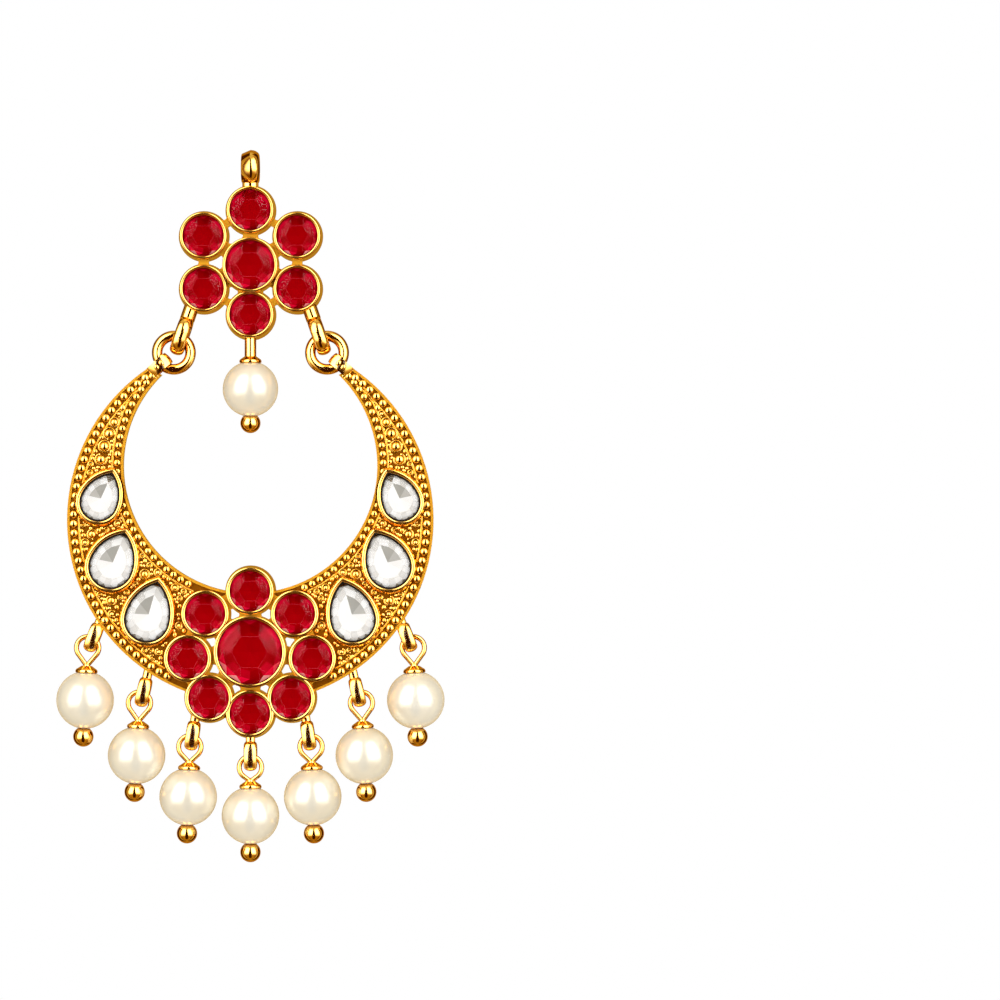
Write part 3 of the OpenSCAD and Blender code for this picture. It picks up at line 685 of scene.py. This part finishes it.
def make_stones():
    ruby("top_ruby_centre", "top_flower", *TOP_CENTRE_PLACE, FLOWER_BACK, TOP_CENTRE_R, TOP_CENTRE_DEPTH)
    for i, (angle, distance) in enumerate(TOP_PETALS):
        x, z = polar(distance, angle)
        ruby(f"top_ruby_{i + 1}", "top_flower", x, z, FLOWER_BACK, TOP_STONE_R, BEZEL_DEPTH)
    ruby("ruby_centre", "drop", 0, LOWER_Z, PLATE_BACK, LOWER_CENTRE_R, LOWER_CENTRE_DEPTH)
    for i in range(len(LOWER_PETALS)):
        ruby(f"ruby_{i + 1}", "drop", *petal_place(i), PLATE_BACK, LOWER_STONE_R, BEZEL_DEPTH)
    for i, row in enumerate(PEARS):
        crystal(i + 1, row, False)
        crystal(i + 1 + len(PEARS), row, True)


# Free room on the crescent's left arm

# Distance kept between the grains and a bezel, and beyond the ring for the wires across the arm's end
BEZEL_CLEARANCE = 0.1
TIP_CLEARANCE = 1.1


def outside_pear(x, z, row):
    """How far a place lies outside a pear stone."""
    pear_x, pear_z, r, tip, turn = row
    dx, dz = x - pear_x, z - pear_z
    lean = math.radians(turn)
    along = dz * math.cos(lean) + dx * math.sin(lean)
    across = dx * math.cos(lean) - dz * math.sin(lean)
    angle = math.degrees(math.atan2(along, across))
    return math.hypot(dx, dz) - pear_radius(angle, r, pear_shift(r, tip))


def outside_petal(x, z, i):
    """How far a place lies outside a stone of the lower flower."""
    petal_x, petal_z = petal_place(i)
    return math.hypot(x - petal_x, z - petal_z) - LOWER_STONE_R


def outside_stones(x, z):
    """How far a place lies outside the nearest stone."""
    pears = min(outside_pear(x, z, row) for row in PEARS)
    return min(pears, *(outside_petal(x, z, i) for i in range(len(LOWER_PETALS))))


def inside_outer(x, z):
    """How far a place lies inside the crescent's outer edge."""
    return OUTER_R - math.hypot(x, z - OUTER_Z)


def inside_inner(x, z):
    """How far a place lies inside the crescent's inner edge."""
    return math.hypot(x, z - INNER_Z) - INNER_R


def room(x, z):
    """Free distance round a place on the plate."""
    outer = inside_outer(x, z) - OUTER_ROW_WIDTH
    inner = inside_inner(x, z) - INNER_ROW_WIDTH
    ring = math.hypot(x + RING_X, z - RING_Z) - RING_R - RING_WIRE_R - TIP_CLEARANCE
    free = min(outer, inner, ring, math.hypot(x, z - LOWER_Z) - LOWER_OPENING_R)
    if free <= 0:
        return free
    return min(free, outside_stones(x, z) - BEZEL_WALL - BEZEL_CLEARANCE)


# The places of the cast grains

# The line of grains down the middle of the arm: its angles round the inner circle's middle, the places
# tried in each degree, the bounds of a grain's radius, and the radius as a share of the room
COLUMN_START, COLUMN_END = 142, 178
COLUMN_TRIES = 20
COLUMN_LARGEST, COLUMN_SMALLEST = 0.72, 0.24
COLUMN_SHARE = 1.06
# The other grains: radius, how many places are tried, and how near their neighbours may come, as a share
# of the distance at which they touch
GRAIN_SIZES = (
    (0.62, 1500, 1.0),
    (0.48, 3000, 0.98),
    (0.36, 5000, 0.96),
    (0.26, 8000, 0.94),
    (0.18, 8000, 0.85),
)
GRAIN_SPAN_X = (-19.5, -0.5)
GRAIN_SPAN_Z = (-47.0, -11.0)


def column():
    """Grains in one line down the middle of the arm, each as large as the rows beside it leave room for."""
    places = []
    shift = INNER_Z - OUTER_Z
    for k in range(COLUMN_START * COLUMN_TRIES, COLUMN_END * COLUMN_TRIES):
        across, up = polar(1, k / COLUMN_TRIES)
        outer = math.sqrt(OUTER_R ** 2 - (shift * across) ** 2) - shift * up
        distance = (INNER_R + INNER_ROW_WIDTH + outer - OUTER_ROW_WIDTH) / 2
        x, z = distance * across, distance * up + INNER_Z
        radius = min(COLUMN_LARGEST, COLUMN_SHARE * room(x, z))
        if radius < COLUMN_SMALLEST:
            continue
        if not places or math.hypot(x - places[-1][0], z - places[-1][1]) > radius + places[-1][2]:
            places.append((x, z, radius))
    return places


class Grid:
    """Grains kept in square cells as wide as the largest grain, so that neighbours are found quickly."""

    def __init__(self):
        self.cells = {}

    def cell(self, x, z):
        width = 2 * COLUMN_LARGEST
        return (int(x // width), int(z // width))

    def add(self, x, z, radius):
        self.cells.setdefault(self.cell(x, z), []).append((x, z, radius))

    def near(self, x, z):
        """The grains in the cell of a place and in the eight cells round it."""
        column_number, row = self.cell(x, z)
        for across in (-1, 0, 1):
            for up in (-1, 0, 1):
                yield from self.cells.get((column_number + across, row + up), ())

    def is_free(self, x, z, radius, reach):
        """Whether a grain of this radius keeps its distance from every other, as a share of touching."""
        return all(math.hypot(x - a, z - b) >= (radius + other) * reach for a, b, other in self.near(x, z))


def pack(seed):
    """Fills the plate between the rows with grains that touch, largest first: a list of (x, z, radius)."""
    draw = random.Random(seed)
    grid = Grid()
    for place in column():
        grid.add(*place)
    for radius, tries, reach in GRAIN_SIZES:
        for _ in range(tries):
            x, z = draw.uniform(*GRAIN_SPAN_X), draw.uniform(*GRAIN_SPAN_Z)
            if grid.is_free(x, z, radius, reach) and room(x, z) >= radius * reach:
                grid.add(x, z, radius)
    return [placed for cell in grid.cells.values() for placed in cell]


# The forms of the cast ornament, each a list of points and one of polygons


def merge(parts, name):
    """One smooth mesh from (points, polygons) parts."""
    vertices = []
    faces = []
    for points, polygons in parts:
        start = len(vertices)
        vertices.extend(points)
        faces.extend([tuple(start + k for k in polygon) for polygon in polygons])
    data = bpy.data.meshes.new(name)
    data.from_pydata(vertices, [], faces)
    data.polygons.foreach_set("use_smooth", [True] * len(faces))
    data.update()
    return data


def both_sides(parts):
    """The parts of the left arm, and their mirror images with the faces turned round."""
    out = []
    for points, polygons in parts:
        out.append((points, polygons))
        out.append(([Vector((-p.x, p.y, p.z)) for p in points], [list(reversed(f)) for f in polygons]))
    return out


def ball_form(level):
    """A ball of radius 1, finer at a higher level."""
    mesh = bmesh.new()
    bmesh.ops.create_icosphere(mesh, subdivisions=level, radius=1)
    points = [v.co.copy() for v in mesh.verts]
    polygons = [[v.index for v in f.verts] for f in mesh.faces]
    mesh.free()
    return points, polygons


SMALL_BALL = ball_form(2)
LARGE_BALL = ball_form(3)


def grain(x, z, radius, depth, stretch=1.0, turn=0.0, ball=SMALL_BALL):
    """A ball of cast metal, drawn out by stretch in the direction of turn, in degrees."""
    points, polygons = ball
    cos, sin = polar(1, turn)
    out = []
    for p in points:
        u, v = p.x * stretch * radius, p.z * radius
        out.append(point(x + u * cos - v * sin, z + u * sin + v * cos, depth - p.y * radius))
    return out, polygons


def wire(path, radius, depth, sides=6, closed=False):
    """A round wire along places in the front plane."""
    count = len(path)
    points = []
    for k, (x, z) in enumerate(path):
        ahead = path[(k + 1) % count] if closed or k < count - 1 else path[k]
        behind = path[k - 1] if closed or k > 0 else path[k]
        length = math.hypot(ahead[0] - behind[0], ahead[1] - behind[1])
        side_x, side_z = -(ahead[1] - behind[1]) / length, (ahead[0] - behind[0]) / length
        for j in range(sides):
            across, rise = polar(radius, 360 * j / sides)
            points.append(point(x + side_x * across, z + side_z * across, depth + rise))
    polygons = []
    for k in range(count if closed else count - 1):
        here, following = k * sides, (k + 1) % count * sides
        for j in range(sides):
            after = (j + 1) % sides
            polygons.append([here + j, here + after, following + after, following + j])
    if not closed:
        polygons.append(list(reversed(range(sides))))
        polygons.append([(count - 1) * sides + j for j in range(sides)])
    return points, polygons


def arc(x, z, radius, start, end, steps):
    """Places along an arc round (x, z) from one angle to another."""
    places = []
    for k in range(steps + 1):
        across, up = polar(radius, start + (end - start) * k / steps)
        places.append((x + across, z + up))
    return places


# The crescent's cast ornament

# The fine wires' radius, and how high those beside the bead rows lie on the plate
ROW_WIRE_R = 0.13
ROW_WIRE_RISE = 0.1
# The wire beside each bead row: its radius, the height of its middle, and its first and last angle
ROW_WIRES = (
    (OUTER_R - OUTER_ROW_WIDTH - ROW_WIRE_R, OUTER_Z, 128, 243),
    (INNER_R + INNER_ROW_WIDTH + ROW_WIRE_R, INNER_Z, 141, 248),
)
# Steps of such a wire in each degree, and the fewest places in a stretch of it that is kept
ROW_WIRE_STEPS = 3
ROW_WIRE_FEWEST = 4


def row_wires():
    """Thin wires along the inner side of both bead rows, left out where a bezel stands."""
    parts = []
    for radius, middle_z, start, end in ROW_WIRES:
        runs = [[]]
        for x, z in arc(0, middle_z, radius, start, end, ROW_WIRE_STEPS * (end - start)):
            if outside_stones(x, z) > BEZEL_WALL + ROW_WIRE_R:
                runs[-1].append((x, z))
            elif runs[-1]:
                runs.append([])
        kept = [run for run in runs if len(run) >= ROW_WIRE_FEWEST]
        parts += [wire(run, ROW_WIRE_R, PLATE_FRONT + ROW_WIRE_RISE) for run in kept]
    return parts


# Wires across the arm's end: their distances from the tip loop's middle, how far they reach to each side,
# in how many steps, and how high they lie on the plate
TIP_WIRES = (0.9, 1.2)
TIP_WIRE_REACH = 1.2
TIP_WIRE_STEPS = 24
TIP_WIRE_RISE = 0.12
# Drops of metal on the tip loop: how far each lies beyond the loop's middle and its radius, then how far
# they sink in as a share of the radius, and how long they are for their width
TIP_DROPS = ((-0.36, 0.27), (0.3, 0.25))
TIP_DROP_SINK = 0.3
TIP_DROP_STRETCH = 1.25


def tip_parts():
    """Two fine wires across the arm's end, and two drops of metal on the loop over the ring."""
    ux, uz = polar(1, TIP_ANGLE)

    def place(along, side):
        """A place from its distances along the arm and to its side from the tip loop's middle."""
        x = (TIP_LOOP_DISTANCE + along) * ux - RING_X - side * uz
        z = (TIP_LOOP_DISTANCE + along) * uz + RING_Z + side * ux
        return (x, z)

    parts = []
    for distance in TIP_WIRES:
        steps = range(-TIP_WIRE_STEPS, TIP_WIRE_STEPS + 1)
        places = [place(distance, TIP_WIRE_REACH * k / TIP_WIRE_STEPS) for k in steps]
        kept = [p for p in places if min(inside_outer(*p), inside_inner(*p)) > ROW_WIRE_R]
        parts.append(wire(kept, ROW_WIRE_R, PLATE_FRONT + TIP_WIRE_RISE))
    for along, radius in TIP_DROPS:
        depth = HANG + math.sqrt(TIP_LOOP_R ** 2 - along ** 2) - TIP_DROP_SINK * radius
        parts.append(grain(*place(along, 0), radius, depth, TIP_DROP_STRETCH, TIP_ANGLE + 90, LARGE_BALL))
    return parts


# The random draws of the grains' places and of their forms
PACK_SEED = 11
FORM_SEED = 5
# Grains from this radius on are beads in a ring of wire. Then the wire's radius, the share of closed
# rings, the degrees that an open one spans, a ring's steps and sides, and the gap between it and its bead
RINGED_FROM = 0.34
RINGLET_WIRE_R = 0.12
CLOSED_SHARE = 0.6
OPEN_SPAN = 280
RINGLET_STEPS = 20
RINGLET_SIDES = 8
RINGLET_GAP = 0.02
# How much longer than wide a plain grain may be
GRAIN_STRETCH = 1.2


def ringlet(x, z, radius, turn, closed):
    """A ring of wire round a bead, or one that is open on one side, and the bead."""
    span = 360 if closed else OPEN_SPAN
    path = arc(x, z, radius - RINGLET_WIRE_R, turn, turn + span, RINGLET_STEPS)
    if closed:
        path.pop()
    height = PLATE_FRONT + RINGLET_WIRE_R
    ring = wire(path, RINGLET_WIRE_R, height, RINGLET_SIDES, closed)
    return ring, grain(x, z, radius - 2 * RINGLET_WIRE_R - RINGLET_GAP, height, ball=LARGE_BALL)


def make_ornament():
    """The grains between the bead rows, the rings round the larger ones and the thin wires, on both arms."""
    draw = random.Random(FORM_SEED)
    rings = []
    grains = []
    for x, z, radius in pack(PACK_SEED):
        turn = draw.uniform(0, 360)
        if radius < RINGED_FROM:
            grains.append(grain(x, z, radius, PLATE_FRONT, draw.uniform(1, GRAIN_STRETCH), turn))
            continue
        ring, bead = ringlet(x, z, radius, turn, draw.random() < CLOSED_SHARE)
        rings.append(ring)
        grains.append(bead)
    wires = row_wires() + tip_parts()
    for name, parts in (("crescent_rings", rings), ("crescent_grains", grains), ("crescent_wires", wires)):
        add_object(name, merge(both_sides(parts), name), "drop", "gold", GOLD_CAST)


# The CAD nodes that stay


def node_material(name):
    """The pearls are pearl, and the other nodes that show are gold."""
    if name == "top_pearl" or name.startswith("pearl_") and "cap" not in name:
        return PEARL
    return {"crescent": GOLD_CAST, "top_flower": GOLD_FLOWER}.get(name, GOLD_SMOOTH)


def dress_nodes():
    for name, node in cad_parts.items():
        if not node.hide_render:
            node.data.materials.clear()
            node.data.materials.append(node_material(name))


# The mirrored studio

# A zone has its edges in degrees to the side of the viewer and above the horizon, each pair followed by the
# widths over which it fades out below the first edge and above the second, and last what it adds.
ALL_SIDES = (0, 180, 1, 1)
ALL_HEIGHTS = (-90, 90, 1, 1)
# The white boxes on both sides of the viewer and their hot middles
WHITE_BOX = ((13, 60, 4, 16), (0, 48, 36, 24), 1.5)
HOT_BOX = ((15, 46, 4, 24), (4, 40, 30, 24), 4.5)
# The dark slit between the boxes, the height below which it widens, and by how many degrees for each
SLIT = ((0, 8, 1, 6), (-60, 55, 12, 14), -0.4)
SLIT_STARTS = 30
SLIT_WIDENS = 0.14
# The warm room's tone, the zones that change it, and its light for tones from 0 to 1
ROOM_TONE = 0.44
ROOM_ZONES = (
    ((66, 80, 6, 5), (-90, 60, 1, 20), -0.15),
    ((86, 98, 4, 5), ALL_HEIGHTS, 0.12),
    ((106, 132, 6, 10), (-70, 70, 20, 20), -0.36),
    (ALL_SIDES, (74, 90, 16, 1), 0.3),
)
ROOM_LIGHT = (
    (0.0, (0.02, 0.004, 0.0)), (0.25, (0.14, 0.035, 0.0)), (0.4, (0.38, 0.18, 0.008)),
    (0.5, (0.6, 0.4, 0.05)), (0.75, (0.83, 0.76, 0.42)), (1.0, (1.0, 1.0, 1.0)),
)
# The soft light on matt surfaces, from below and above, and its strength
SOFT_BELOW = (0.8, 0.77, 0.7)
SOFT_ABOVE = (1.0, 1.0, 1.0)
SOFT_LIGHT = 1.38
IN_DEGREES = 180 / math.pi


def mirrored_studio(nodes, x, y, z):
    """What shiny surfaces mirror towards (x, y, z): white boxes beside a dark slit, in a warm room."""
    turn = nodes.maths("ARCTAN2", x, nodes.maths("MULTIPLY", y, -1))
    side = nodes.maths("ABSOLUTE", nodes.maths("MULTIPLY", turn, IN_DEGREES))
    height = nodes.maths("MULTIPLY", nodes.maths("ARCSINE", z), IN_DEGREES)
    below = nodes.maths("MAXIMUM", nodes.maths("SUBTRACT", SLIT_STARTS, height), 0)
    narrowed = nodes.maths("SUBTRACT", side, nodes.maths("MULTIPLY", below, SLIT_WIDENS))

    def zone(across, sides, heights, gain):
        """The gain inside a zone, and less where the zone fades out."""
        inside = nodes.maths("MULTIPLY", nodes.between(across, *sides), nodes.between(height, *heights))
        return nodes.maths("MULTIPLY", inside, gain)

    boxes = nodes.maths("ADD", zone(narrowed, *WHITE_BOX), zone(narrowed, *HOT_BOX))
    tone = nodes.maths("ADD", zone(nodes.maths("MAXIMUM", narrowed, 0), *SLIT), ROOM_TONE)
    for room_zone in ROOM_ZONES:
        tone = nodes.maths("ADD", zone(side, *room_zone), tone)
    box_light = nodes.add("ShaderNodeBackground", {"Color": (1, 1, 1, 1), "Strength": boxes})
    room_light = nodes.add("ShaderNodeBackground", {"Color": nodes.ramp(tone, *ROOM_LIGHT)})
    return nodes.add("ShaderNodeAddShader", {0: box_light.outputs[0], 1: room_light.outputs[0]})


def make_world():
    """White where the camera looks past the object, a soft even light on matt surfaces, and the studio in
    shiny ones."""
    nodes = Nodes(bpy.data.worlds.new("studio"), "ShaderNodeOutputWorld")
    direction = nodes.add("ShaderNodeTexCoord").outputs["Generated"]
    x, y, z = nodes.add("ShaderNodeSeparateXYZ", {0: direction}).outputs
    soft_tone = nodes.ramp(nodes.map_range(z, (-1, 1)), (0.0, SOFT_BELOW), (1.0, SOFT_ABOVE))
    soft = nodes.add("ShaderNodeBackground", {"Color": soft_tone, "Strength": SOFT_LIGHT})
    white = nodes.add("ShaderNodeBackground", {"Color": (1, 1, 1, 1)})
    path = nodes.add("ShaderNodeLightPath").outputs
    lit = nodes.mix_shaders(path["Is Diffuse Ray"], mirrored_studio(nodes, x, y, z), soft)
    world = nodes.surface(nodes.mix_shaders(path["Is Camera Ray"], lit, white))
    world.cycles.sampling_method = "NONE"
    bpy.context.scene.world = world


# The floor and the camera

# The floor's height and radius, how far out it starts to fade, its noise and its tones
FLOOR_Z = -120
FLOOR_R = 400
FLOOR_FADE = 150
FLOOR_SIDES = 96
FLOOR_CLOUDS = (30, 2)
FLOOR_DARK = (0.86, 0.86, 0.86)
FLOOR_LIGHT = (0.88, 0.88, 0.88)


def floor_material(name):
    """Pale paint that fades out towards the floor's edge."""
    nodes = material_nodes(name)
    colour = nodes.clouds(FLOOR_CLOUDS, WIDE_SPAN, FLOOR_DARK, FLOOR_LIGHT)
    paint = nodes.add("ShaderNodeBsdfPrincipled", {"Base Color": colour, "Roughness": 0.7})
    distance = nodes.add("ShaderNodeVectorMath", {0: nodes.place()}, operation="LENGTH").outputs["Value"]
    fade = nodes.map_range(distance, (FLOOR_FADE * MM, FLOOR_R * MM), smooth=True)
    return nodes.surface(nodes.mix_shaders(fade, paint, nodes.add("ShaderNodeBsdfTransparent")))


def make_floor():
    """A plain pale round floor under the hanging earring, which fades into the white studio."""
    mesh = bmesh.new()
    bmesh.ops.create_circle(mesh, cap_ends=True, segments=FLOOR_SIDES, radius=FLOOR_R * MM)
    floor = bpy.data.objects.new("floor", finished(mesh, "floor"))
    bpy.context.scene.collection.objects.link(floor)
    floor.location.z = FLOOR_Z * MM
    floor.data.materials.append(floor_material("floor_paint"))
    floor.visible_glossy = False


# The photograph's width in pixels, its scale, the pixels of the earring's mirror axis and of the post's
# height, and the camera's lens, sensor and clipping distances
PHOTO_SIZE = 1000
MM_PER_PIXEL = 0.107
AXIS_PIXEL = 250.3
ORIGIN_PIXEL = 262.3
LENS = 200
SENSOR = 36
CLIP_START, CLIP_END = 10, 20000


def make_camera():
    """A camera straight in front that frames what the photograph frames."""
    data = bpy.data.cameras.new("camera")
    data.lens = LENS
    data.sensor_width = SENSOR
    data.clip_start, data.clip_end = CLIP_START * MM, CLIP_END * MM
    camera = bpy.data.objects.new("camera", data)
    bpy.context.scene.collection.objects.link(camera)
    width = PHOTO_SIZE * MM_PER_PIXEL
    x = (PHOTO_SIZE / 2 - AXIS_PIXEL) * MM_PER_PIXEL
    z = (ORIGIN_PIXEL - PHOTO_SIZE / 2) * MM_PER_PIXEL
    camera.location = point(x, z, PLATE_FRONT + width * LENS / SENSOR)
    camera.rotation_euler = (math.pi / 2, 0, 0)
    bpy.context.scene.camera = camera


make_camera()
make_world()
make_floor()
make_stones()
make_ornament()
dress_nodes()

scene = bpy.context.scene
scene.view_settings.view_transform = "Standard"
scene.cycles.max_bounces = 10
scene.cycles.sample_clamp_indirect = 6
